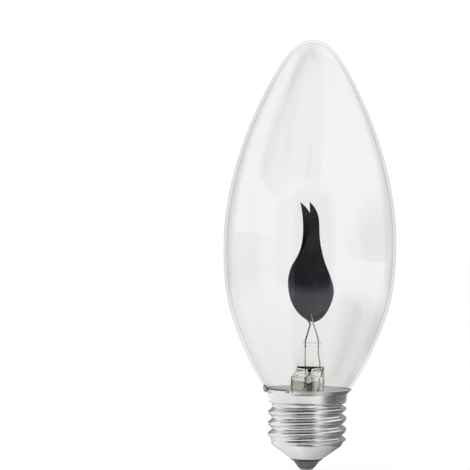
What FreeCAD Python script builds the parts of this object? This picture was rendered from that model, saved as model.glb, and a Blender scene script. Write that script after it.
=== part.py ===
# Flicker flame lamp: a clear candle shaped glass bulb with two flame shaped plates, on an E27 cap.
# Millimetres. The axis is +Z, and the origin is the bottom of the centre contact.
import FreeCAD, Part
import math
import os
import re
import Sketcher
from FreeCAD import Placement, Rotation, Vector

os.makedirs("parts", exist_ok=True)
document = FreeCAD.newDocument("FlameLamp")
sheet = document.addObject("Spreadsheet::Sheet", "Sizes")

# Driving dimensions, in millimetres and degrees
dimensions = {
    # Glass bulb
    "overall_height": 143.2,
    "bulb_radius": 28.75,
    "belly_rise": 49.8,
    "glass_wall": 0.9,
    "shoulder_reach": 5.88,
    "shoulder_rise": 7.04,
    "shoulder_step": 0.9,
    "shoulder_sink": 1.3,
    "neck_round": 2.7,
    "neck_length": 10.5,
    "neck_gap": 0.65,
    # Glass stem and its pinched press
    "stem_radius": 5.6,
    "flare_height": 9.5,
    "flare_mouth_step": 1.5,
    "stem_dome_height": 19.5,
    "ceiling_rise": 2.5,
    "press_overlap": 1.2,
    "press_taper_height": 4.7,
    "press_height": 6.9,
    "press_thickness": 3.4,
    "press_left_draw": 2.0,
    "press_left_taper": 1.5,
    "press_right_draw": 0.2,
    "press_right_taper": 0.9,
    # Exhaust tube and blow hole
    "tube_radius": 1.7,
    "tube_wall": 0.6,
    "tube_across": 0.5,
    "tube_forward": 2.0,
    "tube_drop": 3.9,
    "tube_root": 0.3,
    "blow_hole_radius": 0.75,
    "blow_hole_slope": 30.0,
    # Flame plates
    "flame_gap": 6.9,
    "flame_height": 40.2,
    "flame_width": 15.0,
    "flame_across": 0.4,
    "plate_sheet": 0.3,
    "plate_spacing": 4.0,
    "fold_left": 5.7,
    "fold_right": 6.2,
    "fold_angle": 35.0,
    "fold_reach": 4.0,
    "tip_bend_height": 14.5,
    "tip_spread": 1.9,
    "plate_yaw": 10.0,
    "rear_lean": 4.9,
    "rear_shift": 1.51,
    # Support wires, seal wires and the lead wire
    "support_wire": 0.5,
    "support_bend": 0.9,
    "weld_length": 3.0,
    "weld_depth": 0.08,
    "weld_bead": 0.8,
    "weld_sink": 1.1,
    "knee_above_press": 0.6,
    "front_weld_across": 0.75,
    "front_weld_lean": 0.85,
    "front_knee_across": 2.5,
    "front_knee_forward": 1.2,
    "front_knee_share": 0.56,
    "front_wire_margin": 1.15,
    "rear_weld_across": 1.75,
    "rear_weld_lean": 0.6,
    "rear_knee_across": 0.57,
    "rear_knee_behind": 1.6,
    "rear_knee_share": 0.91,
    "rear_wire_margin": 1.1,
    "seal_wire": 0.4,
    "seal_bend": 3.0,
    "seal_drop": 2.4,
    "front_seal_gap": 0.5,
    "rear_seal_across": 0.85,
    "lead_wire": 0.4,
    # Screw cap
    "thread_crest_radius": 13.15,
    "thread_depth": 1.25,
    "thread_pitch": 3.629,
    "thread_length": 12.7,
    "thread_foot": 1.3,
    "thread_fade": 1.2,
    "crest_drop": 1.0,
    "cap_sheet": 0.25,
    "lip_height": 1.4,
    "lip_flare": 1.28,
    "lip_round": 0.5,
    "skirt_height": 2.9,
    "skirt_taper": 0.27,
    "skirt_rise": 0.8,
    "skirt_round": 0.55,
    "thread_collar": 0.45,
    "thread_collar_round": 0.3,
    "cone_bottom": 3.8,
    "cone_bottom_radius": 5.45,
    "cone_height": 4.1,
    "cone_step": 0.8,
    "cone_collar": 0.4,
    "cone_collar_round": 0.6,
    "cone_round": 1.2,
    "lead_notch_width": 0.8,
    "lead_notch_depth": 0.5,
    "lead_notch_azimuth": 243.9,
    # Cement, insulator and centre contact
    "cement_foot": 0.4,
    "cement_sink": 0.3,
    "insulator_rise": 1.6,
    "insulator_drop": 0.9,
    "insulator_ledge": 0.15,
    "insulator_hole": 0.95,
    "eyelet_gap": 1.1,
    "eyelet_taper": 1.4,
    "eyelet_sheet": 0.35,
    "eyelet_foot": 0.75,
    "solder_margin": 0.4,
    "solder_flat": 1.6,
    # Ballast resistor, its leads and their splice
    "resistor_radius": 1.25,
    "resistor_length": 6.5,
    "resistor_bead": 0.4,
    "resistor_collar": 1.4,
    "resistor_waist": 0.15,
    "resistor_gap": 2.6,
    "resistor_across": 4.3,
    "resistor_behind": 1.2,
    "resistor_lead": 0.6,
    "splice_radius": 0.6,
    "splice_length": 2.6,
    "splice_gap": 3.9,
    "splice_across": 3.2,
    "splice_behind": 0.6,
    # Side lead
    "side_lead_bend": 4.0,
    "side_lead_top_radius": 3.3,
    "side_lead_top_azimuth": 195.0,
    "side_lead_middle_radius": 4.1,
    "side_lead_middle_azimuth": 215.0,
    "side_lead_under_seal": 1.1,
    "side_lead_off_skirt": 0.45,
    "side_lead_off_lip": 0.65,
    "rim_run_inset": 0.1,
    "rim_run_gap": 0.05,
    "rim_run_start": 3.5,
    "rim_run_drop": 0.25,
    # Solder on the rim
    "rim_solder_azimuth": 200.0,
    "rim_solder_outset": 0.15,
    "rim_solder_lift": 0.5,
    "rim_solder_depth": 0.85,
    "rim_solder_width": 1.05,
    "rim_solder_rise": 1.5,
}

# Sizes and levels that follow from the ones above
fitted = {
    "thread_root_radius": "thread_crest_radius - thread_depth",
    "cone_top": "cone_bottom + cone_height",
    "cone_top_radius": "thread_root_radius - cone_step",
    "thread_bottom": "cone_top + thread_foot",
    "thread_top": "thread_bottom + thread_length",
    "thread_crest_height": "thread_top - crest_drop",
    "skirt_bottom": "thread_top + skirt_rise",
    "skirt_top_radius": "thread_crest_radius + skirt_taper",
    "lip_foot": "skirt_bottom + skirt_height",
    "lip_radius": "skirt_top_radius + lip_flare",
    "lip_top": "lip_foot + lip_height",
    "neck_radius": "thread_root_radius - cap_sheet - neck_gap",
    "shoulder_radius": "neck_radius + shoulder_step",
    "shoulder_height": "lip_top - shoulder_sink",
    "belly_height": "shoulder_height + belly_rise",
    "neck_top": "shoulder_height - neck_round",
    "seal_height": "neck_top - neck_length",
    "flare_top": "seal_height + flare_height",
    "flare_mouth_radius": "neck_radius - flare_mouth_step",
    "ceiling_height": "seal_height + stem_dome_height",
    "press_root": "ceiling_height - press_overlap",
    "press_start": "press_root + press_taper_height",
    "press_top": "press_start + press_height",
    "press_left_bottom": "stem_radius - press_left_draw",
    "press_left_top": "press_left_bottom - press_left_taper",
    "press_right_bottom": "stem_radius - press_right_draw",
    "press_right_top": "press_right_bottom - press_right_taper",
    "tube_bore": "tube_radius - tube_wall",
    "tube_tip": "seal_height - tube_drop",
    "flame_bottom": "press_top + flame_gap",
    "tip_bend_start": "flame_height - tip_bend_height",
    "weld_height": "press_top - weld_sink",
    "front_wire_across": "press_right_top - front_wire_margin",
    "rear_wire_across": "press_left_top - rear_wire_margin",
    "front_seal_across": "stem_radius - glass_wall - front_seal_gap",
    "seal_bottom": "ceiling_height - seal_drop",
    "cement_bottom": "thread_top + cement_foot",
    "cement_top": "lip_top - cement_sink",
    "insulator_top": "cone_bottom + insulator_rise",
    "insulator_lip": "cone_bottom - insulator_drop",
    "eyelet_radius": "cone_bottom_radius - eyelet_gap",
    "eyelet_foot_radius": "eyelet_radius - eyelet_taper",
    "solder_radius": "eyelet_foot_radius - solder_margin",
    "resistor_bottom": "insulator_top + resistor_gap",
    "splice_bottom": "resistor_bottom + resistor_length + splice_gap",
    "rim_solder_radius": "lip_radius + rim_solder_outset",
    "rim_solder_height": "lip_top + rim_solder_lift",
}
for row, (alias, value) in enumerate(dimensions.items(), 1):
    sheet.set(f"A{row}", alias)
    sheet.set(f"B{row}", str(value))
    sheet.setAlias(f"B{row}", alias)
document.recompute()
alias_pattern = re.compile(r"\b(" + "|".join(dimensions) + r")\b")
fitted_pattern = re.compile(r"\b(" + "|".join(fitted) + r")\b")


def bound(text):
    # Writes out the fitted sizes, and puts the sheet's name before each driving one.
    while fitted_pattern.search(text):
        text = fitted_pattern.sub(lambda found: f"({fitted[found.group()]})", text)
    return alias_pattern.sub(r"Sizes.\1", text)


def size(name):
    value = sheet.evalExpression(bound(name))
    return float(getattr(value, "Value", value))


# Sketches whose points are bound to the sheet
def body_plane(body, role):
    return next(plane for plane in body.Origin.OriginFeatures if plane.Role == role)


def new_sketch(body, name, role):
    sketch = body.newObject("Sketcher::SketchObject", name)
    sketch.AttachmentSupport = [(body_plane(body, role), "")]
    sketch.MapMode = "FlatFace"
    return sketch


def point_at(sketch, pair):
    values = [sketch.evalExpression(bound(text)) for text in pair]
    across, up = [float(getattr(value, "Value", value)) for value in values]
    return Vector(across, up, 0)


def bind_point(sketch, geometry, position, pair):
    place = point_at(sketch, pair)
    ways = (("DistanceX", pair[0], place.x, -2), ("DistanceY", pair[1], place.y, -1))
    for kind, text, value, axis in ways:
        if text == "0":
            sketch.addConstraint(Sketcher.Constraint("PointOnObject", geometry, position, axis))
        else:
            index = sketch.addConstraint(Sketcher.Constraint(kind, -1, 1, geometry, position, value))
            sketch.setExpression(f"Constraints[{index}]", bound(text))


def draw(sketch, stretches, end=None):
    # Each stretch lists its points up to the next stretch's first point: a single point starts a
    # line, and more are a curve's poles. Without an end the last stretch closes the outline.
    first = sketch.GeometryCount
    last_points = [stretch[0] for stretch in stretches[1:]] + [end or stretches[0][0]]
    drawn = []
    for stretch, last_point in zip(stretches, last_points):
        places = [point_at(sketch, pair) for pair in stretch + [last_point]]
        count = len(places)
        if count == 2:
            geometry = sketch.addGeometry(Part.LineSegment(places[0], places[1]), False)
            bind_point(sketch, geometry, 1, stretch[0])
        else:
            degree = count - 1 if count < 7 else 3
            knots = list(range(count - degree + 1))
            multiplicities = [degree + 1] + [1] * (count - degree - 1) + [degree + 1]
            curve = Part.BSplineCurve()
            curve.buildFromPolesMultsKnots(places, multiplicities, knots, False, degree)
            geometry = sketch.addGeometry(curve, False)
            sketch.exposeInternalGeometry(geometry)
            for number, pair in enumerate(stretch, 1):
                bind_point(sketch, geometry + number, 3, pair)
        if drawn:
            sketch.addConstraint(Sketcher.Constraint("Coincident", drawn[-1], 2, geometry, 1))
        drawn.append(geometry)
    if end is None:
        sketch.addConstraint(Sketcher.Constraint("Coincident", drawn[-1], 2, first, 1))
    elif len(stretches[-1]) == 1:
        bind_point(sketch, drawn[-1], 2, end)
    else:
        bind_point(sketch, drawn[-1] + len(stretches[-1]) + 1, 3, end)


def turned_body(label, stretches):
    body = document.addObject("PartDesign::Body", label)
    sketch = new_sketch(body, label + "_section", "XZ_Plane")
    draw(sketch, stretches)
    turn = body.newObject("PartDesign::Revolution", label + "_turn")
    turn.Profile = sketch
    turn.ReferenceAxis = (sketch, ["V_Axis"])
    turn.Angle = 360
    return body


def pocket(body, sketch, name):
    cutter = body.newObject("PartDesign::Pocket", name)
    cutter.Profile = sketch
    cutter.Type = "ThroughAll"
    cutter.SideType = "Symmetric"
    document.recompute()
    return cutter


# Shapes made from other shapes
def shape_feature(label, shape):
    feature = document.addObject("Part::Feature", label)
    feature.Shape = shape
    return feature


def cut(label, base, *tools):
    tool = tools[0]
    if len(tools) > 1:
        tool = document.addObject("Part::Compound", label + "_tools")
        tool.Links = list(tools)
    result = document.addObject("Part::Cut", label)
    result.Base = base
    result.Tool = tool
    document.recompute()
    return result


def bent_path(points, bend_radius):
    # Straight runs joined by tangent arcs, never larger than the runs beside them allow
    edges = []
    start = points[0]
    for before, corner, after in zip(points, points[1:], points[2:]):
        back = (before - corner).normalize()
        ahead = (after - corner).normalize()
        half_turn = (math.pi - back.getAngle(ahead)) / 2
        shorter_run = min(before.distanceToPoint(corner), after.distanceToPoint(corner))
        reach = min(bend_radius * math.tan(half_turn), 0.45 * shorter_run)
        radius = reach / math.tan(half_turn)
        towards_centre = (back + ahead).normalize()
        middle = corner + towards_centre * (radius / math.cos(half_turn) - radius)
        arc_start = corner + back * reach
        arc_end = corner + ahead * reach
        edges.append(Part.LineSegment(start, arc_start).toShape())
        edges.append(Part.Arc(arc_start, middle, arc_end).toShape())
        start = arc_end
    edges.append(Part.LineSegment(start, points[-1]).toShape())
    return Part.Wire(edges)


def wire_shape(label, points, diameter, bend_radius):
    # A wire bent in three dimensions has no sketch plane, so it is swept here along its path.
    path = bent_path(points, bend_radius)
    ring = Part.Circle(points[0], points[1] - points[0], diameter / 2).toShape()
    solid = path.makePipeShell([Part.Wire([ring])], True, False)
    expected = math.pi * diameter ** 2 / 4 * path.Length
    if abs(solid.Volume - expected) > 0.01 * expected:
        raise ValueError(f"{label} has {solid.Volume} cubic millimetres, not {expected}")
    return solid


# Glass bulb: the blown outline, and the hollow inside it
def glass_stretches(wall, tip_height, neck_bottom):
    # wall is the distance inward from the glass's outer face
    radius = f"(bulb_radius - {wall})"
    dome = f"({tip_height} - belly_height)"
    shoulder = f"(shoulder_radius - {wall} * 0.3)"
    shoulder_level = f"(shoulder_height + {wall} * 0.9)"
    flare = f"(shoulder_radius + shoulder_reach - {wall} * 0.874)"
    flare_level = f"(shoulder_height + shoulder_rise + {wall} * 0.485)"
    reach = f"({flare} - {shoulder})"
    rise = f"({flare_level} - {shoulder_level})"
    width = f"({radius} - {flare})"
    depth = f"(belly_height - {flare_level})"
    slope = f"({reach} * 0.263 / ({rise} * 0.395))"
    neck = f"neck_radius - {wall}"
    dome_curve = [
        ("0", tip_height),
        (f"{radius} * 0.325", tip_height),
        (f"{radius} * 0.343", f"belly_height + {dome} * 0.843"),
        (f"{radius} * 0.754", f"belly_height + {dome} * 0.689"),
        (radius, f"belly_height + {dome} * 0.292"),
    ]
    # The last pole follows the shoulder's slope, so the two curves are tangent.
    lower_curve = [
        (radius, "belly_height"),
        (radius, f"{flare_level} + {depth} * 0.595"),
        (f"{flare} + {width} * 0.83", f"{flare_level} + {depth} * 0.47"),
        (f"{flare} + {depth} * 0.195 * {slope}", f"{flare_level} + {depth} * 0.195"),
    ]
    shoulder_curve = [
        (flare, flare_level),
        (f"{shoulder} + {reach} * 0.737", f"{shoulder_level} + {rise} * 0.605"),
        (f"{shoulder} + {reach} * 0.472", f"{shoulder_level} + {rise} * 0.264"),
        (f"{shoulder} + {reach} * 0.219", f"{shoulder_level} + {rise} * 0.028"),
    ]
    neck_curve = [
        (shoulder, shoulder_level),
        (neck, f"{shoulder_level} - (shoulder_radius - neck_radius) * 0.4"),
    ]
    neck_lines = [[(neck, "neck_top")], [(neck, neck_bottom)], [("0", neck_bottom)]]
    return [dome_curve, lower_curve, shoulder_curve, neck_curve] + neck_lines


glass_outline = turned_body("glass_outline", glass_stretches("0", "overall_height", "seal_height"))
glass_hollow = turned_body(
    "glass_hollow", glass_stretches("glass_wall", "(overall_height - glass_wall)", "(seal_height - 1)")
)
glass_envelope = cut("glass_envelope", glass_outline, glass_hollow)

# Glass stem: a flared tube, domed inside and pinched flat above the dome
stem_hollow_radius = "(stem_radius - glass_wall)"
stem_blank = turned_body("stem_blank", [
    [("0", "press_top")],
    [("stem_radius", "press_top")],
    [
        ("stem_radius", "flare_top"),
        ("stem_radius", "flare_top - (flare_top - seal_height) * 0.55"),
        ("stem_radius + (neck_radius - glass_wall - stem_radius) * 0.3", "seal_height + glass_wall"),
    ],
    [("neck_radius - glass_wall", "seal_height")],
    [("neck_radius", "seal_height")],
    [("neck_radius", "seal_height - glass_wall")],
    [
        ("flare_mouth_radius", "seal_height - glass_wall"),
        (f"{stem_hollow_radius} + (flare_mouth_radius - {stem_hollow_radius}) * 0.3", "seal_height"),
        (stem_hollow_radius, "flare_top - (flare_top - seal_height) * 0.6"),
    ],
    [(stem_hollow_radius, "flare_top")],
    [
        (stem_hollow_radius, "ceiling_height - ceiling_rise"),
        (stem_hollow_radius, "ceiling_height - ceiling_rise * 0.4"),
        (f"{stem_hollow_radius} * 0.6", "ceiling_height"),
    ],
    [("0", "ceiling_height")],
])
relief = new_sketch(stem_blank, "press_side_relief", "YZ_Plane")
for side in ("", "-"):
    draw(relief, [
        [(f"{side}(press_thickness / 2)", "press_top + 1")],
        [
            (f"{side}(press_thickness / 2)", "press_start"),
            (f"{side}(press_thickness / 2)", "press_start - (press_start - press_root) * 0.5"),
            (f"{side}(stem_radius)", "press_root + (press_start - press_root) * 0.5"),
        ],
        [(f"{side}(stem_radius + 0.1)", "press_root")],
        [(f"{side}(stem_radius + 1)", "press_root")],
        [(f"{side}(stem_radius + 1)", "press_top + 1")],
    ])
pocket(stem_blank, relief, "press_sides")
relief = new_sketch(stem_blank, "press_edge_relief", "XZ_Plane")
for side, hand in (("-", "left"), ("", "right")):
    bottom, top = f"press_{hand}_bottom", f"press_{hand}_top"
    draw(relief, [
        [(f"{side}{top}", "press_top + 1")],
        [(f"{side}{top}", "press_top - 0.6")],
        [
            (f"{side}{bottom}", "press_start - 0.5"),
            (f"{side}{bottom}", "press_root + 1"),
        ],
        [(f"{side}(stem_radius + 0.1)", "press_root")],
        [(f"{side}(stem_radius + 1)", "press_root")],
        [(f"{side}(stem_radius + 1)", "press_top + 1")],
    ])
pocket(stem_blank, relief, "press_edges")

# Exhaust tube: from the dome's ceiling down to its melted tip
tube_blank = turned_body("tube_blank", [
    [("tube_bore", "ceiling_height + tube_root")],
    [("tube_radius", "ceiling_height + tube_root")],
    [
        ("tube_radius", "tube_tip + tube_radius * 2"),
        ("tube_radius", "tube_tip + tube_radius * 0.4"),
        ("tube_radius * 0.5", "tube_tip"),
    ],
    [("0", "tube_tip")],
    [
        ("0", "tube_tip + tube_wall * 2"),
        ("tube_bore * 0.5", "tube_tip + tube_wall * 2"),
        ("tube_bore", "tube_tip + tube_radius * 1.2"),
    ],
    [("tube_bore", "tube_tip + tube_radius * 2.5")],
])
tube_blank.Placement = Placement(Vector(size("tube_across"), -size("tube_forward"), 0), Rotation())
document.recompute()
exhaust_tube = cut("exhaust_tube", tube_blank, stem_blank)
blow_hole = document.addObject("Part::Cylinder", "blow_hole")
blow_hole.setExpression("Radius", bound("blow_hole_radius"))
blow_hole.setExpression("Height", bound("press_start - press_root + 1"))
hole_place = Vector(size("tube_across"), -size("tube_forward"), size("ceiling_height - ceiling_rise / 2"))
blow_hole.Placement = Placement(hole_place, Rotation(Vector(1, 0, 0), size("blow_hole_slope")))


# Flame plates: sheet folded back at both sides, bowed at the tip and cut to a flame outline
def flame_plate(label, side, lean, shift):
    # side is -1 for the front plate, whose outer face looks at -Y, and 1 for the rear one
    body = document.addObject("PartDesign::Body", label)
    section = new_sketch(body, label + "_section", "XY_Plane")
    half = "(plate_sheet / 2)"
    mitre = f"({half} * tan(fold_angle / 2))"
    outer, inner = f"({side} * {half})", f"({-side} * {half})"

    def flange_end(direction, fold, face):
        across = f"{direction} * ({fold} + fold_reach * cos(fold_angle) + {face} * {half} * sin(fold_angle))"
        along = f"{side} * ({face} * {half} * cos(fold_angle) - fold_reach * sin(fold_angle))"
        return (across, along)

    draw(section, [
        [flange_end(-1, "fold_left", 1)],
        [(f"-(fold_left + {mitre})", outer)],
        [(f"fold_right + {mitre}", outer)],
        [flange_end(1, "fold_right", 1)],
        [flange_end(1, "fold_right", -1)],
        [(f"fold_right - {mitre}", inner)],
        [(f"-(fold_left - {mitre})", inner)],
        [flange_end(-1, "fold_left", -1)],
    ])
    spine = new_sketch(body, label + "_spine", "YZ_Plane")
    draw(spine, [
        [("0", "0")],
        [
            ("0", "tip_bend_start"),
            ("0", "(tip_bend_start + flame_height) / 2"),
        ],
    ], end=(f"{side} * tip_spread", "flame_height + 1"))
    document.recompute()
    sheet_metal = body.newObject("PartDesign::AdditivePipe", label + "_sheet")
    sheet_metal.Profile = section
    sheet_metal.Spine = (spine, [])
    document.recompute()
    outline = new_sketch(body, label + "_outline", "XZ_Plane")
    draw(outline, [
        [("-flame_width", "-1")],
        [("flame_width", "-1")],
        [("flame_width", "flame_height + 3")],
        [("-flame_width", "flame_height + 3")],
    ])
    right_edge = [
        (0.08, 0), (0.48, 0.005), (1.316, 0.24), (0.546, 0.475), (0.246, 0.754), (0.324, 0.918),
    ]
    left_edge = [
        (-0.181, 1), (-0.095, 0.873), (-0.211, 0.592), (-0.927, 0.477), (-1.132, 0.307), (-0.765, 0.055),
    ]
    draw(outline, [
        [(f"flame_width / 2 * {across}", f"flame_height * {up}") for across, up in edge]
        for edge in (right_edge, left_edge)
    ])
    pocket(body, outline, label + "_trim")
    yaw = Rotation(Vector(0, 0, 1), size("plate_yaw"))
    foot = Vector(size("flame_across") + shift, 0, size("flame_bottom"))
    offset = yaw.multVec(Vector(0, side * size("plate_spacing") / 2, 0))
    body.Placement = Placement(foot + offset, yaw * Rotation(Vector(0, 1, 0), -lean))
    document.recompute()
    return body


front_flame_plate = flame_plate("front_flame_plate", -1, 0, 0)
rear_flame_plate = flame_plate("rear_flame_plate", 1, size("rear_lean"), size("rear_shift"))

# Support wires: welded to the outer face of each plate, and to a seal wire inside the press
weld_height = size("weld_height")
support_radius = size("support_wire") / 2


def on_plate(plate, side, across, up):
    # A wire's centre, pressed a little into the plate's outer face
    away = side * (size("plate_sheet") / 2 + support_radius - size("weld_depth"))
    return plate.Placement.multVec(Vector(across, away, up))


def support_wire(label, plate, points):
    blank = wire_shape(label, points, size("support_wire"), size("support_bend"))
    bead = Part.makeSphere(size("weld_bead") / 2, points[-1])
    return cut(label, shape_feature(label + "_blank", blank.fuse(bead)), plate)


front_weld = size("front_weld_across")
front_knee_height = size("press_top + flame_gap * front_knee_share")
front_route = [
    on_plate(front_flame_plate, -1, front_weld - size("front_weld_lean"), size("weld_length")),
    on_plate(front_flame_plate, -1, front_weld, -size("support_wire")),
    Vector(size("front_knee_across"), -size("front_knee_forward"), front_knee_height),
    Vector(size("front_wire_across"), 0, size("press_top + knee_above_press")),
    Vector(size("front_wire_across"), 0, weld_height),
]
rear_weld = size("rear_weld_across")
rear_knee_height = size("press_top + flame_gap * rear_knee_share")
rear_route = [
    on_plate(rear_flame_plate, 1, -rear_weld - size("rear_weld_lean"), size("weld_length")),
    on_plate(rear_flame_plate, 1, -rear_weld, size("support_wire")),
    Vector(size("rear_knee_across"), size("rear_knee_behind"), rear_knee_height),
    Vector(-size("rear_wire_across"), 0, size("press_top + knee_above_press")),
    Vector(-size("rear_wire_across"), 0, weld_height),
]
front_support_wire = support_wire("front_support_wire", front_flame_plate, front_route)
rear_support_wire = support_wire("rear_support_wire", rear_flame_plate, rear_route)


# Seal wires: the copper clad wires that pass through the press
def seal_wire(label, support, top_across, bottom_across):
    points = [
        Vector(top_across, 0, weld_height),
        Vector(top_across, 0, size("press_start + (weld_height - press_start) * 0.57")),
        Vector(bottom_across, 0, size("press_start - (press_start - press_root) * 0.57")),
        Vector(bottom_across, 0, size("seal_bottom")),
    ]
    blank = shape_feature(label + "_blank", wire_shape(label, points, size("seal_wire"), size("seal_bend")))
    return cut(label, blank, support)


front_seal_wire = seal_wire(
    "front_seal_wire", front_support_wire, size("front_wire_across"), size("front_seal_across")
)
rear_seal_wire = seal_wire(
    "rear_seal_wire", rear_support_wire, -size("rear_wire_across"), -size("rear_seal_across")
)
glass_stem = cut(
    "glass_stem", stem_blank, blow_hole,
    front_support_wire, rear_support_wire, front_seal_wire, rear_seal_wire,
)


# Screw cap: drawn sheet with a flared lip, a rolled thread and a cone
def filleted(points, radii):
    # Straight runs in the XZ plane with a round at each inner corner
    edges = []
    start = points[0]
    for before, corner, after, radius in zip(points, points[1:], points[2:], radii):
        back = (before - corner).normalize()
        ahead = (after - corner).normalize()
        half_turn = (math.pi - back.getAngle(ahead)) / 2
        reach = radius * math.tan(half_turn)
        middle = corner + (back + ahead).normalize() * (radius / math.cos(half_turn) - radius)
        edges.append(Part.LineSegment(start, corner + back * reach).toShape())
        edges.append(Part.Arc(corner + back * reach, middle, corner + ahead * reach).toShape())
        start = corner + ahead * reach
    edges.append(Part.LineSegment(start, points[-1]).toShape())
    return edges


def shifted_inward(points, distance):
    # Corners of the same line moved to the axis side by the sheet's thickness
    shifts = []
    for before, after in zip(points, points[1:]):
        along = (after - before).normalize()
        shifts.append(Vector(along.z, 0, -along.x) * distance)
    moved = [points[0] + shifts[0]]
    for corner, shift, next_shift in zip(points[1:], shifts, shifts[1:]):
        bisector = (shift + next_shift).normalize()
        moved.append(corner + bisector * (distance ** 2 / bisector.dot(shift)))
    moved.append(points[-1] + shifts[-1])
    return moved


crest_radius = size("thread_crest_radius")
root_radius = size("thread_root_radius")
pitch = size("thread_pitch")
thread_top = size("thread_top")
thread_bottom = size("thread_bottom")
cap_sheet = size("cap_sheet")
# The thread's crest and root are equal arcs, tangent where they meet.
flank_angle = 2 * math.atan(2 * size("thread_depth") / pitch)
thread_round = pitch / 4 / math.sin(flank_angle)


def rolled_radius(turn, height, inward):
    # Radius of the rolled sheet at a fraction of a turn, on the face that lies this far inward
    plain = root_radius - inward
    phase = (height - size("thread_crest_height")) / pitch - turn
    from_crest = abs(phase - round(phase)) * pitch
    crest_round = thread_round - inward
    root_round = thread_round + inward
    if from_crest < crest_round * math.sin(flank_angle):
        rolled = crest_radius - thread_round + math.sqrt(crest_round ** 2 - from_crest ** 2)
    else:
        rolled = root_radius + thread_round - math.sqrt(root_round ** 2 - (pitch / 2 - from_crest) ** 2)
    nearest_end = min(thread_top - height, height - thread_bottom) / size("thread_fade")
    share = min(1, max(0, nearest_end))
    return plain + (rolled - plain) * share * share * (3 - 2 * share)


def thread_face(inward):
    # No sketch gives a rolled thread, so its face is fitted through rings of computed points.
    turns = 48
    levels = round((thread_top - thread_bottom) / pitch * 16)
    rows = []
    for step in range(turns):
        angle = 2 * math.pi * step / turns
        row = []
        for level in range(levels + 1):
            height = thread_bottom + (thread_top - thread_bottom) * level / levels
            radius = rolled_radius(step / turns, height, inward)
            row.append(Vector(radius * math.cos(angle), radius * math.sin(angle), height))
        rows.append(row)
    rows.append(rows[0])
    surface = Part.BSplineSurface()
    surface.interpolate(rows)
    return surface.toShape()


def level_edge(face, height):
    boxes = [(edge, edge.BoundBox) for edge in face.Edges]
    return next(edge for edge, box in boxes if abs(box.ZMin - height) + abs(box.ZMax - height) < 0.001)


def thread_tube():
    outer, inner = thread_face(0), thread_face(cap_sheet)
    ends = [
        Part.makeRuledSurface(level_edge(outer, height), level_edge(inner, height))
        for height in (thread_bottom, thread_top)
    ]
    faces = Part.Compound([outer, inner] + ends)
    faces.sewShape()
    return Part.Solid(faces.Shells[0])


def turned_sheet(outer_edges, inner_edges):
    # A ring of sheet between two lines of edges, each running downward
    closing = []
    for end in (0, -1):
        outer_end, inner_end = [edges[end].Vertexes[end].Point for edges in (outer_edges, inner_edges)]
        closing.append(Part.LineSegment(outer_end, inner_end).toShape())
    section = Part.Face(Part.Wire(Part.__sortEdges__(outer_edges + inner_edges + closing)))
    return section.revolve(Vector(0, 0, 0), Vector(0, 0, 1), 360)


skirt_line = [
    Vector(size("lip_radius"), 0, size("lip_top")),
    Vector(size("skirt_top_radius"), 0, size("lip_foot")),
    Vector(crest_radius, 0, size("skirt_bottom")),
    Vector(root_radius, 0, size("thread_top + thread_collar")),
    Vector(root_radius, 0, thread_top),
]
lip_round = size("lip_round")
skirt_round = size("skirt_round")
collar_round = size("thread_collar_round")
cone_line = [
    Vector(root_radius, 0, thread_bottom),
    Vector(root_radius, 0, size("thread_bottom - cone_collar")),
    Vector(size("cone_top_radius"), 0, size("cone_top")),
    Vector(size("cone_bottom_radius"), 0, size("cone_bottom")),
]
cone_rounds = [size("cone_collar_round"), size("cone_round")]
# Where the line turns toward the axis side, the inner face's round is the larger one.
skirt_inner_line = shifted_inward(skirt_line, cap_sheet)
skirt_inner_rounds = [lip_round + cap_sheet, skirt_round - cap_sheet, collar_round + cap_sheet]
cone_inner_line = shifted_inward(cone_line, cap_sheet)
cone_inner_rounds = [radius - cap_sheet for radius in cone_rounds]
skirt_inner = filleted(skirt_inner_line, skirt_inner_rounds)
cone_inner = filleted(cone_inner_line, cone_inner_rounds)
skirt_sheet = turned_sheet(filleted(skirt_line, [lip_round, skirt_round, collar_round]), skirt_inner)
cone_sheet = turned_sheet(filleted(cone_line, cone_rounds), cone_inner)
# The fitted thread ends within 0.0001 of the turned sheet, so they are fused with a tolerance.
cap_solid = thread_tube().multiFuse([skirt_sheet, cone_sheet], 0.001).Solids[0]
cap_blank = shape_feature("cap_blank", cap_solid)

notch_turn = Rotation(Vector(0, 0, 1), size("lead_notch_azimuth"))
lead_notch = document.addObject("Part::Box", "lead_notch")
lead_notch.setExpression("Width", bound("lead_notch_width"))
lead_notch.setExpression("Height", bound("lead_notch_depth * 2"))
lead_notch.setExpression("Length", bound("lip_radius - shoulder_radius + 1"))
notch_foot = size("lip_top - lead_notch_depth")
notch_corner = Vector(size("shoulder_radius"), -size("lead_notch_width") / 2, notch_foot)
lead_notch.Placement = Placement(notch_turn.multVec(notch_corner), notch_turn)
cap_shell = cut("cap_shell", cap_blank, lead_notch)


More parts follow.
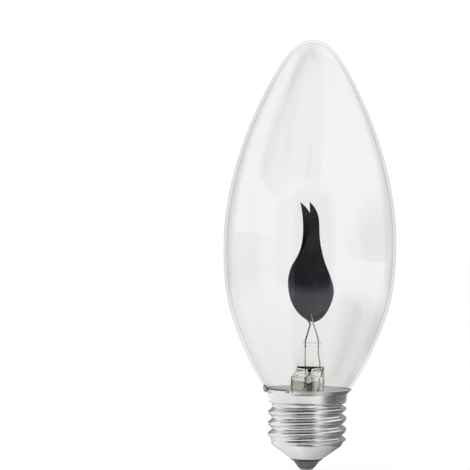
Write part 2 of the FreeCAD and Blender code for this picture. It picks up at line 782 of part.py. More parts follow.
# Black glass insulator, the brass eyelet under it and the solder on its hole
cone_slope = "((cone_top_radius - cone_bottom_radius) / (cone_top - cone_bottom))"
inner_cone_foot = f"(cone_bottom_radius - cap_sheet / sqrt(1 + {cone_slope} ^ 2))"
inner_cone_foot_height = f"(cone_bottom + cap_sheet * {cone_slope} / sqrt(1 + {cone_slope} ^ 2))"
insulator_reach = f"({inner_cone_foot} + (insulator_top - {inner_cone_foot_height}) * {cone_slope})"
eyelet_inner_radius = "(eyelet_radius - eyelet_sheet)"
eyelet_foot_inner = "(eyelet_foot_radius - eyelet_sheet * 0.5)"
cap_insulator = turned_body("cap_insulator", [
    [("insulator_hole", "insulator_top")],
    [(insulator_reach, "insulator_top")],
    [(inner_cone_foot, inner_cone_foot_height)],
    [("cone_bottom_radius", "cone_bottom")],
    [("cone_bottom_radius - insulator_ledge", "cone_bottom - insulator_ledge * 2")],
    [("eyelet_radius", "insulator_lip")],
    [(eyelet_inner_radius, "insulator_lip")],
    [(eyelet_foot_inner, "eyelet_foot + eyelet_sheet")],
    [("insulator_hole", "eyelet_foot + eyelet_sheet")],
])
contact_eyelet = turned_body("contact_eyelet", [
    [("insulator_hole", "eyelet_foot + eyelet_sheet")],
    [(eyelet_foot_inner, "eyelet_foot + eyelet_sheet")],
    [(eyelet_inner_radius, "insulator_lip")],
    [("eyelet_radius", "insulator_lip")],
    [
        ("eyelet_foot_radius + 0.15", "eyelet_foot + 0.5"),
        ("eyelet_foot_radius", "eyelet_foot"),
    ],
    [("solder_radius", "eyelet_foot")],
    [("insulator_hole", "eyelet_foot")],
])
solder_blank = turned_body("solder_blank", [
    [("0", "0")],
    [
        ("solder_flat", "0"),
        ("solder_radius - 0.3", "0"),
    ],
    [("solder_radius", "eyelet_foot")],
    [("insulator_hole", "eyelet_foot")],
    [
        ("insulator_hole", "eyelet_foot + eyelet_sheet"),
        ("insulator_hole * 0.8", "eyelet_foot + eyelet_sheet * 2"),
    ],
    [("0", "eyelet_foot + eyelet_sheet * 2.5")],
])

# Ballast resistor, its leads and the splice to the front plate's seal wire
resistor_body = turned_body("ballast_resistor", [
    [("0", "resistor_length")],
    [("resistor_radius * 0.6", "resistor_length")],
    [("resistor_radius", "resistor_length - resistor_bead")],
    [("resistor_radius", "resistor_length - resistor_collar")],
    [("resistor_radius - resistor_waist", "resistor_length - resistor_collar - resistor_bead")],
    [("resistor_radius - resistor_waist", "resistor_collar + resistor_bead")],
    [("resistor_radius", "resistor_collar")],
    [("resistor_radius", "resistor_bead")],
    [("resistor_radius * 0.6", "0")],
    [("0", "0")],
])
resistor_foot = Vector(size("resistor_across"), size("resistor_behind"), size("resistor_bottom"))
resistor_head = resistor_foot + Vector(0, 0, size("resistor_length"))
resistor_body.Placement = Placement(resistor_foot, Rotation())
splice_foot = Vector(size("splice_across"), size("splice_behind"), size("splice_bottom"))
splice_middle = splice_foot + Vector(0, 0, size("splice_length") / 2)
front_seal_end = Vector(size("front_seal_across"), 0, size("seal_bottom"))
rear_seal_end = Vector(-size("rear_seal_across"), 0, size("seal_bottom"))
lead_wire = size("lead_wire")
resistor_lead = size("resistor_lead")

centre_lead_wire = shape_feature("centre_lead_wire", wire_shape("centre_lead_wire", [
    front_seal_end,
    front_seal_end - Vector(0, 0, 1.3),
    Vector(splice_foot.x - 0.1, 0.3, (size("seal_bottom") + splice_middle.z) / 2),
    splice_middle + Vector(0, 0, 2.5),
    splice_middle,
], lead_wire, 2))
resistor_upper_lead = shape_feature("resistor_upper_lead", wire_shape("resistor_upper_lead", [
    splice_middle,
    splice_foot - Vector(0, 0, 0.6),
    resistor_head + Vector(0, 0, 1.4),
    resistor_head,
], resistor_lead, 1))
resistor_lower_lead = shape_feature("resistor_lower_lead", wire_shape("resistor_lower_lead", [
    resistor_foot,
    resistor_foot - Vector(0, 0, 1.5),
    Vector(0, 0, size("insulator_top") + 1),
    Vector(0, 0, size("eyelet_foot") / 2),
], resistor_lead, 1))
splice_blank = document.addObject("Part::Cylinder", "splice_blank")
splice_blank.setExpression("Radius", bound("splice_radius"))
splice_blank.setExpression("Height", bound("splice_length"))
splice_blank.Placement = Placement(splice_foot, Rotation())
lead_splice = cut("lead_splice", splice_blank, centre_lead_wire, resistor_upper_lead)
tip_solder = cut("tip_solder", solder_blank, resistor_lower_lead)


# Side lead: down inside the flare, under the seal, up beside the neck, and along the rim
def at_azimuth(radius, height, azimuth):
    angle = math.radians(azimuth)
    return Vector(radius * math.cos(angle), radius * math.sin(angle), height)


notch_azimuth = size("lead_notch_azimuth")
beside_neck = (size("neck_radius") + root_radius - cap_sheet) / 2
below_seal = size("seal_height - glass_wall - side_lead_under_seal")
middle_height = size("seal_height + flare_height * 0.29")
inside_skirt = size("skirt_top_radius - cap_sheet - side_lead_off_skirt")
through_notch = size("lip_top - rim_run_drop")
lip_top = size("lip_top")
rim_run_radius = size("lip_radius - rim_run_inset")
rim_run_height = lip_top + lead_wire / 2 + size("rim_run_gap")
rim_run_azimuth = notch_azimuth - size("rim_run_start")
side_route = [
    rear_seal_end,
    rear_seal_end - Vector(0, 0, 1.3),
    at_azimuth(size("side_lead_top_radius"), size("flare_top") + 1, size("side_lead_top_azimuth")),
    at_azimuth(size("side_lead_middle_radius"), middle_height, size("side_lead_middle_azimuth")),
    at_azimuth(size("flare_mouth_radius") - 1.3, below_seal + 0.3, notch_azimuth),
    at_azimuth(beside_neck - 0.4, below_seal - 0.1, notch_azimuth),
    at_azimuth(beside_neck, below_seal + 1.1, notch_azimuth),
    at_azimuth(beside_neck, size("neck_top") - 0.3, notch_azimuth),
    at_azimuth(inside_skirt, size("lip_foot") - lead_wire, notch_azimuth),
    at_azimuth(rim_run_radius - size("side_lead_off_lip"), through_notch, notch_azimuth - 0.3),
    at_azimuth(rim_run_radius, rim_run_height, rim_run_azimuth),
]
rim_steps = 4
rim_sweep = rim_run_azimuth - size("rim_solder_azimuth")
for step in range(1, rim_steps + 1):
    azimuth = rim_run_azimuth - rim_sweep * step / rim_steps
    side_route.append(at_azimuth(rim_run_radius + size("rim_run_gap"), rim_run_height, azimuth))
side_lead_blank = shape_feature(
    "side_lead_blank", wire_shape("side_lead_wire", side_route, lead_wire, size("side_lead_bend"))
)
side_lead_wire = cut("side_lead_wire", side_lead_blank, glass_envelope, cap_shell)

# Capping cement between the glass and the skirt
skirt_room_edges = skirt_inner + [
    Part.LineSegment(skirt_inner_line[-1], Vector(0, 0, thread_top)).toShape(),
    Part.LineSegment(Vector(0, 0, thread_top), Vector(0, 0, skirt_inner_line[0].z)).toShape(),
    Part.LineSegment(Vector(0, 0, skirt_inner_line[0].z), skirt_inner_line[0]).toShape(),
]
skirt_room_face = Part.Face(Part.Wire(skirt_room_edges))
skirt_room = shape_feature("skirt_room", skirt_room_face.revolve(Vector(0, 0, 0), Vector(0, 0, 1), 360))
cement_band = document.addObject("Part::Cylinder", "cement_band")
cement_band.setExpression("Radius", bound("lip_radius"))
cement_band.setExpression("Height", bound("cement_top - cement_bottom"))
cement_band.Placement = Placement(Vector(0, 0, size("cement_bottom")), Rotation())
cement_blank = document.addObject("Part::Common", "cement_blank")
cement_blank.Base = skirt_room
cement_blank.Tool = cement_band
document.recompute()
capping_cement = cut("capping_cement", cement_blank, glass_outline, side_lead_wire)

# Solder drop that joins the side lead to the lip
solder_drop = document.addObject("Part::Ellipsoid", "solder_drop")
solder_drop.setExpression("Radius1", bound("rim_solder_rise"))
solder_drop.setExpression("Radius2", bound("rim_solder_depth"))
solder_drop.setExpression("Radius3", bound("rim_solder_width"))
drop_place = at_azimuth(size("rim_solder_radius"), size("rim_solder_height"), size("rim_solder_azimuth"))
solder_drop.Placement = Placement(drop_place, Rotation(Vector(0, 0, 1), size("rim_solder_azimuth")))
rim_solder = cut("rim_solder", solder_drop, glass_outline, cap_shell, side_lead_wire, capping_cement)

# Check every object, then write each piece
pieces = [
    glass_envelope, glass_stem, exhaust_tube, front_flame_plate, rear_flame_plate,
    front_support_wire, rear_support_wire, front_seal_wire, rear_seal_wire,
    centre_lead_wire, lead_splice, resistor_upper_lead, resistor_body, resistor_lower_lead,
    side_lead_wire, cap_shell, cap_insulator, contact_eyelet, tip_solder, rim_solder, capping_cement,
]
document.recompute()
for thing in document.Objects:
    if "Invalid" in thing.State or "Error" in thing.State:
        raise ValueError(f"{thing.Label} failed: {thing.State}")
for piece in pieces:
    if piece.Shape.isNull() or not piece.Shape.isValid() or not piece.Shape.Solids:
        raise ValueError(f"{piece.Label} has no valid solid")
    print(piece.Label, len(piece.Shape.Solids), round(piece.Shape.Volume, 2))
for piece in pieces:
    piece.Shape.exportStep(f"parts/{piece.Label}.step")
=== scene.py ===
import math

import bmesh
import bpy
from mathutils import Matrix, Vector


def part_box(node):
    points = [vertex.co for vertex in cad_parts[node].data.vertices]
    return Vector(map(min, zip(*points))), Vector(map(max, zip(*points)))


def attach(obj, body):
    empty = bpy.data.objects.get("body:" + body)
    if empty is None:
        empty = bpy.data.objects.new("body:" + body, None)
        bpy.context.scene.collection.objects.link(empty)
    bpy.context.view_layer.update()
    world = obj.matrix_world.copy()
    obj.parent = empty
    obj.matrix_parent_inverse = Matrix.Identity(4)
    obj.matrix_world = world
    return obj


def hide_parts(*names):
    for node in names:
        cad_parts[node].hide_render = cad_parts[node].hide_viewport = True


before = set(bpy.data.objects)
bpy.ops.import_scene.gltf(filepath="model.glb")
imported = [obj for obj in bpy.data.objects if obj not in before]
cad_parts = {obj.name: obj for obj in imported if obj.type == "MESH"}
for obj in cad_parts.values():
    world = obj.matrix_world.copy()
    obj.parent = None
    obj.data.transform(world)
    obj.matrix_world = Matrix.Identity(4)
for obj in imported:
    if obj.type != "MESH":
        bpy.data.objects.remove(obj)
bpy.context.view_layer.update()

mm = 0.001
print("frame loaded:", len(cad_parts), "nodes")


# Object helpers
def addObject(name, data):
    thing = bpy.data.objects.new(name, data)
    bpy.context.scene.collection.objects.link(thing)
    return thing


def turnTo(direction, axis="-Z"):
    return Vector(direction).to_track_quat(axis, "Y").to_matrix().to_4x4()


# Camera: the photograph is 470 px square, and shows 3 px for each millimetre at the lamp's axis
cameraView = {
    "distance": 1.2,
    "height": 0.1136,          # above the lamp's middle, so the cap's rings show as flat ellipses
    "aimAcross": -0.02501,     # the lamp stands right of the picture's middle
    "aimHeight": 0.07797,
    "frameWidth": 470 / 3 * mm,
    "lean": 0.868,             # degrees that the lamp leans to the right in the picture
    "sensor": 36.0,
    "nearest": 0.01,
}


def makeCamera(view):
    data = bpy.data.cameras.new("camera")
    data.sensor_width = view["sensor"]
    place = Vector((0, -view["distance"], view["height"]))
    aim = Vector((view["aimAcross"], 0, view["aimHeight"]))
    reach = (aim - place).length
    data.lens = view["sensor"] * reach / view["frameWidth"]
    data.clip_start = view["nearest"]
    camera = addObject("camera", data)
    roll = Matrix.Rotation(math.radians(view["lean"]), 4, "Z")
    camera.matrix_world = Matrix.Translation(place) @ turnTo(aim - place) @ roll
    bpy.context.scene.camera = camera
    print("camera lens", round(data.lens, 1), "mm")


makeCamera(cameraView)


# Node helpers
socketNames = {
    "baseColour": "Base Color",
    "metallic": "Metallic",
    "roughness": "Roughness",
    "ior": "IOR",
    "transmission": "Transmission Weight",
    "specular": "Specular IOR Level",
    "coat": "Coat Weight",
    "coatRoughness": "Coat Roughness",
}


def newMaterial(name):
    material = bpy.data.materials.new(name)
    material.use_nodes = True
    tree = material.node_tree
    return material, tree, tree.nodes["Principled BSDF"]


def addNode(tree, kind, values=None, **settings):
    node = tree.nodes.new(kind)
    for key, value in settings.items():
        setattr(node, key, value)
    for key, value in (values or {}).items():
        node.inputs[key].default_value = value
    return node


def feed(tree, value, socket):
    # The value is another node's output, a number or a colour
    if hasattr(value, "is_linked"):
        tree.links.new(value, socket)
    elif isinstance(value, (int, float)):
        socket.default_value = value
    else:
        socket.default_value = (*value, 1)


def setSockets(shader, **values):
    for key, value in values.items():
        socket = shader.inputs[socketNames[key]]
        socket.default_value = (*value, 1) if key == "baseColour" else value


def objectCoordinates(tree, scale=(1, 1, 1)):
    source = addNode(tree, "ShaderNodeTexCoord")
    mapping = addNode(tree, "ShaderNodeMapping", {"Scale": scale})
    tree.links.new(source.outputs["Object"], mapping.inputs["Vector"])
    return mapping.outputs["Vector"]


def objectAxes(tree):
    split = addNode(tree, "ShaderNodeSeparateXYZ")
    tree.links.new(objectCoordinates(tree), split.inputs[0])
    return split.outputs


def noise(tree, scale, detail, roughness, stretch=(1, 1, 1)):
    values = {"Scale": scale, "Detail": detail, "Roughness": roughness}
    node = addNode(tree, "ShaderNodeTexNoise", values)
    tree.links.new(objectCoordinates(tree, stretch), node.inputs["Vector"])
    return node.outputs["Fac"]


def ramp(tree, source, stops):
    node = addNode(tree, "ShaderNodeValToRGB")
    elements = node.color_ramp.elements
    while len(elements) < len(stops):
        elements.new(0.5)
    for element, (place, colour) in zip(elements, stops):
        element.position = place
        element.color = (*colour, 1)
    tree.links.new(source, node.inputs["Fac"])
    return node.outputs["Color"]


def rangeOf(tree, source, low, high, fromLow=0.0, fromHigh=1.0):
    node = addNode(tree, "ShaderNodeMapRange", {
        "From Min": fromLow, "From Max": fromHigh, "To Min": low, "To Max": high,
    })
    tree.links.new(source, node.inputs["Value"])
    return node.outputs["Result"]


def calculate(tree, operation, *values):
    node = addNode(tree, "ShaderNodeMath", operation=operation)
    for value, socket in zip(values, node.inputs):
        feed(tree, value, socket)
    return node.outputs[0]


def mixColours(tree, factor, first, second):
    # A Mix node has its own sockets for each kind of data, and these are the ones for colours
    node = addNode(tree, "ShaderNodeMix", data_type="RGBA")
    for value, number in ((factor, 0), (first, 6), (second, 7)):
        feed(tree, value, node.inputs[number])
    return node.outputs[2]


def edgeShare(tree, start, end):
    # 0 where the surface faces the eye, 1 where it is seen edge on
    facing = addNode(tree, "ShaderNodeLayerWeight", {"Blend": 0.5})
    return rangeOf(tree, facing.outputs["Facing"], 0, 1, start, end)


def addBump(tree, shader, height, strength, distance):
    node = addNode(tree, "ShaderNodeBump", {"Strength": strength, "Distance": distance})
    tree.links.new(height, node.inputs["Height"])
    tree.links.new(node.outputs["Normal"], shader.inputs["Normal"])


def mixSurfaces(tree, share, first, second):
    # The first shader shows where the share is 0, the second where it is 1
    mix = addNode(tree, "ShaderNodeMixShader")
    tree.links.new(share, mix.inputs[0])
    tree.links.new(first.outputs[0], mix.inputs[1])
    tree.links.new(second.outputs[0], mix.inputs[2])
    tree.links.new(mix.outputs[0], tree.nodes["Material Output"].inputs["Surface"])


# Glass
bulbGlassFinish = {
    "clear": (0.974, 0.973, 0.974),     # what one face lets through where it faces the eye
    "low": (0.945, 0.946, 0.942),       # the same near the cap, where the glass looks greener
    "edge": (0.85, 0.85, 0.855),        # and where it is seen edge on, darker: painted shade in place of the dark surroundings that the glass refracts at its edges
    "edgeStart": 0.72,
    "edgeEnd": 0.96,
    "lowFrom": 0.030,
    "lowTo": 0.070,
    "mirrorShare": 0.62,
    "mirrorMost": 0.10,
    "ior": 1.5,
    "roughness": 0.04,
    "rippleSize": 18,
    "rippleStretch": (1, 1, 0.35),
    "rippleStrength": 0.5,
    "rippleHeight": 0.0002,
}
# The tube's edges get a stronger painted shade, in place of the dark surroundings that its glass
# refracts
tubeGlassFinish = dict(
    bulbGlassFinish, clear=(0.97, 0.98, 0.965), low=(0.97, 0.98, 0.965), edge=(0.55, 0.58, 0.53),
    edgeStart=0.35, edgeEnd=0.9, rippleSize=200, rippleHeight=0.00005,
)
stemGlassFinish = {
    "body": (0.95, 0.965, 0.935),
    # Painted shade: a darker colour where the stem is seen edge on, added to its refraction
    "edge": (0.70, 0.74, 0.68),
    "edgeStart": 0.5,
    "edgeEnd": 0.95,
    "ior": 1.20,               # less than real glass, so that the wires in it stay in sight
}


def clearGlassMaterial(name, values):
    # Thin clear glass: the eye goes straight through, and a little of the studio comes back
    material, tree, shader = newMaterial(name)
    tree.nodes.remove(shader)
    up = rangeOf(tree, objectAxes(tree)["Z"], 0, 1, values["lowFrom"], values["lowTo"])
    body = mixColours(tree, up, values["low"], values["clear"])
    # Painted shade: the glass lets through a darker colour where it is seen edge on
    edge = edgeShare(tree, values["edgeStart"], values["edgeEnd"])
    clear = addNode(tree, "ShaderNodeBsdfTransparent")
    tree.links.new(mixColours(tree, edge, body, values["edge"]), clear.inputs["Color"])
    mirror = addNode(tree, "ShaderNodeBsdfAnisotropic", {
        "Color": (1, 1, 1, 1), "Roughness": values["roughness"],
    })
    ripples = noise(
        tree, values["rippleSize"], detail=2.0, roughness=0.4, stretch=values["rippleStretch"],
    )
    addBump(tree, mirror, ripples, values["rippleStrength"], values["rippleHeight"])
    fresnel = addNode(tree, "ShaderNodeFresnel", {"IOR": values["ior"]})
    weak = calculate(tree, "MULTIPLY", fresnel.outputs[0], values["mirrorShare"])
    share = calculate(tree, "MINIMUM", weak, values["mirrorMost"])
    mixSurfaces(tree, share, clear, mirror)
    return material


def stemGlassMaterial():
    values = stemGlassFinish
    material, tree, shader = newMaterial("stemGlass")
    setSockets(shader, roughness=0.0, ior=values["ior"], transmission=1.0)
    # Painted shade: darker colour where the stem is seen edge on
    edge = edgeShare(tree, values["edgeStart"], values["edgeEnd"])
    colour = mixColours(tree, edge, values["body"], values["edge"])
    tree.links.new(colour, shader.inputs["Base Color"])
    return material


# Flame plates
plateFinish = {
    "foot": (0.005, 0.005, 0.007),
    "belly": (0.005, 0.007, 0.018),
    "neck": (0.014, 0.010, 0.008),
    "tip": (0.016, 0.016, 0.017),
    "bellyAt": 0.3,            # shares of the plate's height
    "neckAt": 0.6,
    "tipAt": 0.95,
    "patch": (0.05, 0.05, 0.065),
    "patchMost": 0.5,
    "patchFrom": 0.45,
    "patchTo": 0.75,
    "patchSize": 160,
    "grainSize": 900,
    "grainStretch": (1, 1, 0.08),
    "grainStrength": 0.35,
    "grainHeight": 0.00003,
    "smoothest": 0.37,
    "roughest": 0.57,
    "metallic": 0.3,
    "specular": 0.15,
    "coat": 0.5,
    "coatRoughness": 0.28,
}


def plateMaterial():
    values = plateFinish
    material, tree, shader = newMaterial("darkPlate")
    low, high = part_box("front_flame_plate")
    along = rangeOf(tree, objectAxes(tree)["Z"], 0, 1, low.z, high.z)
    colour = ramp(tree, along, [
        (0.0, values["foot"]), (values["bellyAt"], values["belly"]),
        (values["neckAt"], values["neck"]), (values["tipAt"], values["tip"]),
    ])
    grain = noise(
        tree, values["grainSize"], detail=4, roughness=0.6, stretch=values["grainStretch"],
    )
    patches = noise(tree, values["patchSize"], detail=3, roughness=0.5)
    share = rangeOf(
        tree, patches, 0, values["patchMost"], values["patchFrom"], values["patchTo"],
    )
    tree.links.new(mixColours(tree, share, colour, values["patch"]), shader.inputs["Base Color"])
    setSockets(shader, **{
        key: values[key] for key in ("metallic", "specular", "coat", "coatRoughness")
    })
    rough = rangeOf(tree, patches, values["smoothest"], values["roughest"])
    tree.links.new(rough, shader.inputs["Roughness"])
    addBump(tree, shader, grain, values["grainStrength"], values["grainHeight"])
    return material


# Cap
capFinish = {
    "light": (0.84, 0.84, 0.845),
    "dull": (0.62, 0.62, 0.63),
    "dullFrom": 0.35,
    "dullTo": 0.75,
    "patchSize": 90,
    "ringSize": 500,
    "ringStretch": (0.02, 0.02, 1),
    "speckSize": 1500,
    "speckShare": 0.35,
    "bumpStrength": 0.12,
    "bumpHeight": 0.00002,
    "smoothest": 0.13,
    "roughest": 0.29,
}


def capMaterial():
    values = capFinish
    material, tree, shader = newMaterial("satinCap")
    rings = noise(tree, values["ringSize"], detail=4, roughness=0.6, stretch=values["ringStretch"])
    patches = noise(tree, values["patchSize"], detail=4, roughness=0.6)
    specks = noise(tree, values["speckSize"], detail=2, roughness=0.7)
    share = rangeOf(tree, patches, 0, 1, values["dullFrom"], values["dullTo"])
    colour = mixColours(tree, share, values["light"], values["dull"])
    tree.links.new(colour, shader.inputs["Base Color"])
    setSockets(shader, metallic=1.0)
    rough = rangeOf(tree, patches, values["smoothest"], values["roughest"])
    tree.links.new(rough, shader.inputs["Roughness"])
    height = mixColours(tree, values["speckShare"], rings, specks)
    addBump(tree, shader, height, values["bumpStrength"], values["bumpHeight"])
    return material


# Wires, solder and the contact
metalFinishes = {
    "brightWire": {"colour": (0.55, 0.54, 0.53), "roughness": 0.25},
    "dullWire": {"colour": (0.16, 0.16, 0.17), "roughness": 0.4},
    "copperClad": {"colour": (0.36, 0.12, 0.07), "roughness": 0.4, "stain": (0.16, 0.05, 0.04)},
    "copperLead": {"colour": (0.55, 0.33, 0.24), "roughness": 0.35},
    "tinnedWire": {"colour": (0.62, 0.62, 0.61), "roughness": 0.35},
    "greyContact": {
        "colour": (0.24, 0.24, 0.245), "roughness": 0.30, "spread": 0.1, "stretch": (1, 1, 0.4),
        "scale": 3000, "bump": 0.8, "stain": (0.07, 0.07, 0.075),
    },
    "dullSolder": {
        "colour": (0.42, 0.42, 0.43), "roughness": 0.30, "spread": 0.1, "scale": 700, "bump": 0.6,
    },
}
metalBumpHeight = 0.00002
metalShade = 0.8               # how dark its patches are where a metal has no stain


def metalMaterial(
    name, colour, roughness, spread=0.08, stretch=(1, 1, 1), scale=600, bump=0.15, stain=None,
):
    material, tree, shader = newMaterial(name)
    grain = noise(tree, scale, detail=4, roughness=0.55, stretch=stretch)
    patches = noise(tree, scale / 6, detail=2, roughness=0.5)
    dark = tuple(channel * metalShade for channel in colour)
    base = mixColours(tree, patches, colour, stain or dark)
    tree.links.new(base, shader.inputs["Base Color"])
    setSockets(shader, metallic=1.0)
    rough = rangeOf(tree, grain, roughness - spread, roughness + spread)
    tree.links.new(rough, shader.inputs["Roughness"])
    addBump(tree, shader, grain, bump, metalBumpHeight)
    return material


# Black glass, cement and lacquer
dullFinishes = {
    "blackGlass": {
        "colour": (0.012, 0.012, 0.013), "second": (0.02, 0.02, 0.021), "roughness": 0.2,
        "scale": 400, "bump": 0.1,
    },
    "cement": {
        "colour": (0.90, 0.89, 0.86), "second": (0.80, 0.79, 0.75), "roughness": 0.85,
        "scale": 900, "bump": 0.6,
    },
    "lacquer": {
        "colour": (0.46, 0.36, 0.22), "second": (0.40, 0.31, 0.19), "roughness": 0.35,
        "scale": 500, "bump": 0.1,
    },
}
dullSpread = 0.1
dullBumpHeight = 0.00005


def dullMaterial(name, colour, second, roughness, scale, bump):
    material, tree, shader = newMaterial(name)
    grain = noise(tree, scale, detail=5, roughness=0.6)
    tree.links.new(mixColours(tree, grain, colour, second), shader.inputs["Base Color"])
    rough = rangeOf(tree, grain, roughness - dullSpread, roughness + dullSpread)
    tree.links.new(rough, shader.inputs["Roughness"])
    addBump(tree, shader, grain, bump, dullBumpHeight)
    return material


materials = {
    "bulbGlass": clearGlassMaterial("bulbGlass", bulbGlassFinish),
    "tubeGlass": clearGlassMaterial("tubeGlass", tubeGlassFinish),
    "stemGlass": stemGlassMaterial(),
    "darkPlate": plateMaterial(),
    "satinCap": capMaterial(),
}
for name, values in metalFinishes.items():
    materials[name] = metalMaterial(name, **values)
for name, values in dullFinishes.items():
    materials[name] = dullMaterial(name, **values)
print("materials made:", len(materials))


# Mesh helpers
copyMergeDistance = 1e-6
spinMergeDistance = 1e-7


def meshFrom(name, shape):
    mesh = bpy.data.meshes.new(name)
    shape.to_mesh(mesh)
    shape.free()
    return mesh


def finishPiece(name, mesh, material, nodes, smoothAngle):
    mesh.name = name
    mesh.materials.clear()
    mesh.materials.append(materials[material])
    mesh.shade_smooth()
    mesh.set_sharp_from_angle(angle=math.radians(smoothAngle))
    piece = addObject(name, mesh)
    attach(piece, "root")
    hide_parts(*nodes)
    return piece


def smoothCopy(node, name, material, smoothAngle):
    # The same shape as the node, with its loose triangles joined so that it shades smoothly
    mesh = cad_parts[node].data.copy()
    shape = bmesh.new()
    shape.from_mesh(mesh)
    bmesh.ops.remove_doubles(shape, verts=shape.verts, dist=copyMergeDistance)
    shape.to_mesh(mesh)
    shape.free()
    return finishPiece(name, mesh, material, [node], smoothAngle)


def spunMesh(name, profile, steps):
    # A line of (radius, height) points turned about the lamp's axis
    shape = bmesh.new()
    points = [shape.verts.new((radius, 0, height)) for radius, height in profile]
    edges = [shape.edges.new(pair) for pair in zip(points, points[1:])]
    bmesh.ops.spin(
        shape, geom=points + edges, cent=(0, 0, 0), axis=(0, 0, 1),
        angle=math.tau, steps=steps, use_merge=True,
    )
    bmesh.ops.remove_doubles(shape, verts=shape.verts, dist=spinMergeDistance)
    bmesh.ops.recalc_face_normals(shape, faces=shape.faces)
    return meshFrom(name, shape)


def curvePoints(poles, count):
    # Points along the curve that the poles pull
    points = []
    for step in range(count):
        share = step / (count - 1)
        level = [Vector(pole) for pole in poles]
        while len(level) > 1:
            level = [first.lerp(second, share) for first, second in zip(level, level[1:])]
        points.append(level[0])
    return points


# Glass bulb: the frame's own blown outline, turned finely so that its reflections run smoothly
bulb = {
    "wall": 0.9 * mm,
    "bellyHeight": 75.5 * mm,
    "shoulderRadius": 11.9 * mm,
    "shoulderHeight": 25.7 * mm,
    "shoulderReach": 5.88 * mm,
    "shoulderRise": 7.04 * mm,
    "neckRadius": 11.0 * mm,
    "neckTop": 23.0 * mm,
    "neckSlope": 0.4,
    # How far the inner face lies inward and upward at two places, as shares of the wall
    "innerShoulder": (0.3, 0.9),
    "innerFlare": (0.874, 0.485),
    # Poles of the curves, as shares of the width and height that each one spans
    "dome": [(0, 1), (0.325, 1), (0.343, 0.843), (0.754, 0.689), (1, 0.292), (1, 0)],
    "bellyPull": 0.595,
    "waistPole": (0.83, 0.47),
    "flarePull": 0.195,
    "foot": [(1, 1), (0.737, 0.605), (0.472, 0.264), (0.219, 0.028), (0, 0)],
    "steps": 192,
    "domePoints": 48,
    "lowerPoints": 36,
    "footPoints": 16,
    "cornerPoints": 7,
    "smoothAngle": 50,
}


def bulbSide(inward, tipHeight, neckBottom, widest):
    # From the tip down to the neck's end, on the face that lies this far inside the glass
    radius, belly = widest - inward, bulb["bellyHeight"]
    shoulderIn, shoulderUp = bulb["innerShoulder"]
    flareIn, flareUp = bulb["innerFlare"]
    shoulder = bulb["shoulderRadius"] - inward * shoulderIn
    level = bulb["shoulderHeight"] + inward * shoulderUp
    flare = bulb["shoulderRadius"] + bulb["shoulderReach"] - inward * flareIn
    flareLevel = bulb["shoulderHeight"] + bulb["shoulderRise"] + inward * flareUp
    reach, rise = flare - shoulder, flareLevel - level
    width, depth = radius - flare, belly - flareLevel
    # The lower curve leaves the flare in the direction in which the foot's curve reaches it
    nextAcross, nextUp = bulb["foot"][1]
    slope = reach * (1 - nextAcross) / (rise * (1 - nextUp))
    waistAcross, waistUp = bulb["waistPole"]
    neck = bulb["neckRadius"] - inward
    corner = level - (bulb["shoulderRadius"] - bulb["neckRadius"]) * bulb["neckSlope"]
    dome = [(radius * across, belly + (tipHeight - belly) * up) for across, up in bulb["dome"]]
    lower = [
        (radius, belly),
        (radius, flareLevel + depth * bulb["bellyPull"]),
        (flare + width * waistAcross, flareLevel + depth * waistUp),
        (flare + depth * bulb["flarePull"] * slope, flareLevel + depth * bulb["flarePull"]),
        (flare, flareLevel),
    ]
    foot = [(shoulder + reach * across, level + rise * up) for across, up in bulb["foot"]]
    turn = [(shoulder, level), (neck, corner), (neck, bulb["neckTop"])]
    side = curvePoints(dome, bulb["domePoints"])
    side += curvePoints(lower, bulb["lowerPoints"])[1:]
    side += curvePoints(foot, bulb["footPoints"])[1:]
    side += curvePoints(turn, bulb["cornerPoints"])[1:]
    return side + [Vector((neck, neckBottom))]


def makeBulb():
    low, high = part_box("glass_envelope")
    outer = bulbSide(0, high.z, low.z, high.x)
    inner = bulbSide(bulb["wall"], high.z - bulb["wall"], low.z, high.x)
    mesh = spunMesh("bulb", outer + inner[::-1], bulb["steps"])
    finishPiece(
        "bulb", mesh, "bulbGlass", ["glass_envelope"], bulb["smoothAngle"],
    )


# The other pieces: node, piece, material, and the angle in degrees past which an edge is sharp
copies = [
    ("glass_stem", "stem", "stemGlass", 40),
    ("exhaust_tube", "exhaustTube", "tubeGlass", 40),
    ("front_flame_plate", "frontPlate", "darkPlate", 30),
    ("rear_flame_plate", "rearPlate", "darkPlate", 30),
    ("front_support_wire", "frontSupport", "brightWire", 50),
    ("rear_support_wire", "rearSupport", "dullWire", 50),
    ("front_seal_wire", "frontSeal", "copperClad", 50),
    ("rear_seal_wire", "rearSeal", "copperClad", 50),
    ("centre_lead_wire", "centreLead", "copperLead", 50),
    ("lead_splice", "leadSplice", "tinnedWire", 40),
    ("resistor_upper_lead", "resistorUpperLead", "tinnedWire", 50),
    ("ballast_resistor", "ballastResistor", "lacquer", 40),
    ("resistor_lower_lead", "resistorLowerLead", "tinnedWire", 50),
    ("side_lead_wire", "sideLead", "dullWire", 50),
    ("cap_shell", "capShell", "satinCap", 40),
    ("cap_insulator", "capInsulator", "blackGlass", 40),
    ("contact_eyelet", "contactEyelet", "greyContact", 40),
    ("tip_solder", "tipSolder", "greyContact", 50),
    ("rim_solder", "rimSolder", "dullSolder", 50),
    ("capping_cement", "cappingCement", "cement", 40),
]
capTriangleShare = 0.9

makeBulb()
pieces = {name: smoothCopy(node, name, material, angle) for node, name, material, angle in copies}
# The rolled thread has more triangles than one piece may have, so some are left out
thinning = pieces["capShell"].modifiers.new("thinning", "DECIMATE")
thinning.ratio = capTriangleShare
print("pieces made")


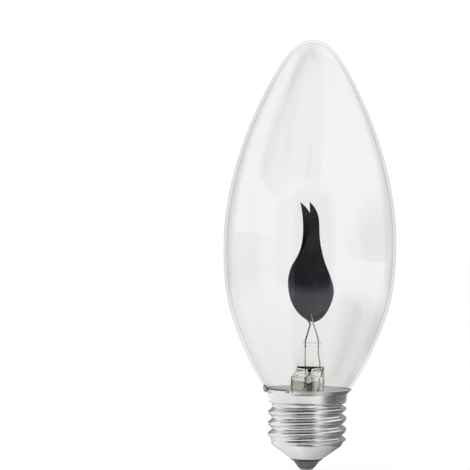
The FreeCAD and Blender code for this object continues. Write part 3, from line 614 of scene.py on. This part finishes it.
# Studio
studio = {
    "aim": (0, 0, 0.08),
    "floorSize": 6.0,
    "floorCells": 8,
    "floorColour": (0.9, 0.9, 0.9),
    "floorRoughness": 0.8,
    "whiteShare": 0.90,
    "whiteGlow": 1.028,
    "ambient": 0.8,
    "cardBlue": 1.02,          # the cards are a trace bluer than grey
}
lamps = {
    "keyLight": {"place": (-1.3, -1.0, 0.9), "size": (0.5, 1.4), "power": 12},
    "fillLight": {"place": (0.9, -1.5, 0.8), "size": (0.3, 1.2), "power": 4},
}
# Grey cards beside the lamp. Each gives a soft band on the glass or a dark line on the cap
cards = {
    "ceilingCard": {
        "place": (-1.35, -1.1, 1.2), "facing": (0, 0, 1), "size": (4.1, 2.8),
        "grey": 0.12, "soft": 0.5,
    },
    "rightCard": {
        "place": (0.9, 0.2, 0.10), "facing": (-1, 0, 0), "size": (2.2, 0.44),
        "grey": 0.2, "soft": 0.18,
    },
    "backCard": {
        "place": (0, 0.35, 0.12), "facing": (0, 1, 0), "size": (0.95, 0.6),
        "grey": 0.35, "soft": 0.1,
    },
    "frontCard": {
        "place": (-0.018, -0.088, 0.078), "facing": (0, -1, 0), "size": (0.13, 0.086),
        "grey": 0.03, "soft": 0.012,
    },
    "rightNearCard": {
        "place": (0.075, 0.020, 0.020), "facing": (-1, 0, 0), "size": (0.22, 0.050),
        "grey": 0.16, "soft": 0.018,
    },
    "rightFloorCard": {
        "place": (0.040, 0.022, 0.0008), "facing": (0, 0, 1), "size": (0.22, 0.11),
        "grey": 0.16, "soft": 0.03, "turn": -47,
    },
    "footCard": {
        "place": (-0.006, -0.030, 0.001), "facing": (0, 0, 1), "size": (0.038, 0.036),
        "grey": 0.02, "soft": 0.006,
    },
}


def seenRays(tree):
    # 1 for rays from the camera, from a mirror-like surface or through glass
    path = addNode(tree, "ShaderNodeLightPath")
    total = path.outputs["Is Camera Ray"]
    for name in ("Is Glossy Ray", "Is Transmission Ray"):
        total = calculate(tree, "MAXIMUM", total, path.outputs[name])
    return total


def makeWorld():
    world = bpy.data.worlds.new("studioWorld")
    bpy.context.scene.world = world
    world.use_nodes = True
    tree = world.node_tree
    tree.nodes.clear()
    strength = rangeOf(tree, seenRays(tree), studio["ambient"], 1.0)
    background = addNode(tree, "ShaderNodeBackground", {"Color": (1, 1, 1, 1)})
    output = addNode(tree, "ShaderNodeOutputWorld")
    tree.links.new(strength, background.inputs["Strength"])
    tree.links.new(background.outputs[0], output.inputs["Surface"])


def makeFloor():
    # What the eye sees of it is nearly all glow, so it is as white as the background
    shape = bmesh.new()
    cells = studio["floorCells"]
    bmesh.ops.create_grid(shape, x_segments=cells, y_segments=cells, size=studio["floorSize"])
    mesh = meshFrom("floor", shape)
    floor = addObject("floor", mesh)
    material, tree, shader = newMaterial("paleFloor")
    setSockets(shader, baseColour=studio["floorColour"], roughness=studio["floorRoughness"])
    glow = addNode(tree, "ShaderNodeEmission", {
        "Color": (1, 1, 1, 1), "Strength": studio["whiteGlow"],
    })
    share = calculate(tree, "MULTIPLY", seenRays(tree), studio["whiteShare"])
    mixSurfaces(tree, share, shader, glow)
    mesh.materials.append(material)


def makeLamp(name, place, size, power):
    data = bpy.data.lights.new(name, "AREA")
    data.shape = "RECTANGLE"
    data.size, data.size_y = size
    data.energy = power
    lamp = addObject(name, data)
    lamp.visible_glossy = False
    direction = Vector(studio["aim"]) - Vector(place)
    lamp.matrix_world = Matrix.Translation(place) @ turnTo(direction)


def makeCard(name, place, facing, size, grey, soft, turn=0):
    # Its edges are soft, and only reflections show it
    shape = bmesh.new()
    bmesh.ops.create_grid(shape, x_segments=1, y_segments=1, size=0.5)
    bmesh.ops.scale(shape, verts=shape.verts, vec=(*size, 1))
    mesh = meshFrom(name, shape)
    material, tree, shader = newMaterial(name)
    tree.nodes.remove(shader)
    axes = objectAxes(tree)
    inside = [
        rangeOf(tree, calculate(tree, "ABSOLUTE", axes[axis]), 1, 0, width / 2 - soft, width / 2)
        for axis, width in zip("XY", size)
    ]
    glow = addNode(tree, "ShaderNodeEmission", {
        "Color": (grey, grey, grey * studio["cardBlue"], 1), "Strength": 1.0,
    })
    clear = addNode(tree, "ShaderNodeBsdfTransparent")
    mixSurfaces(tree, calculate(tree, "MULTIPLY", *inside), clear, glow)
    mesh.materials.append(material)
    card = addObject(name, mesh)
    roll = Matrix.Rotation(math.radians(turn), 4, "Z")
    card.matrix_world = Matrix.Translation(place) @ turnTo(facing, "Z") @ roll
    card.visible_camera = False
    card.visible_diffuse = False
    card.visible_shadow = False
    card.visible_transmission = False


makeWorld()
makeFloor()
for name, values in lamps.items():
    makeLamp(name, **values)
for name, values in cards.items():
    makeCard(name, **values)
print("studio made")

bpy.context.scene.view_settings.view_transform = "Standard"
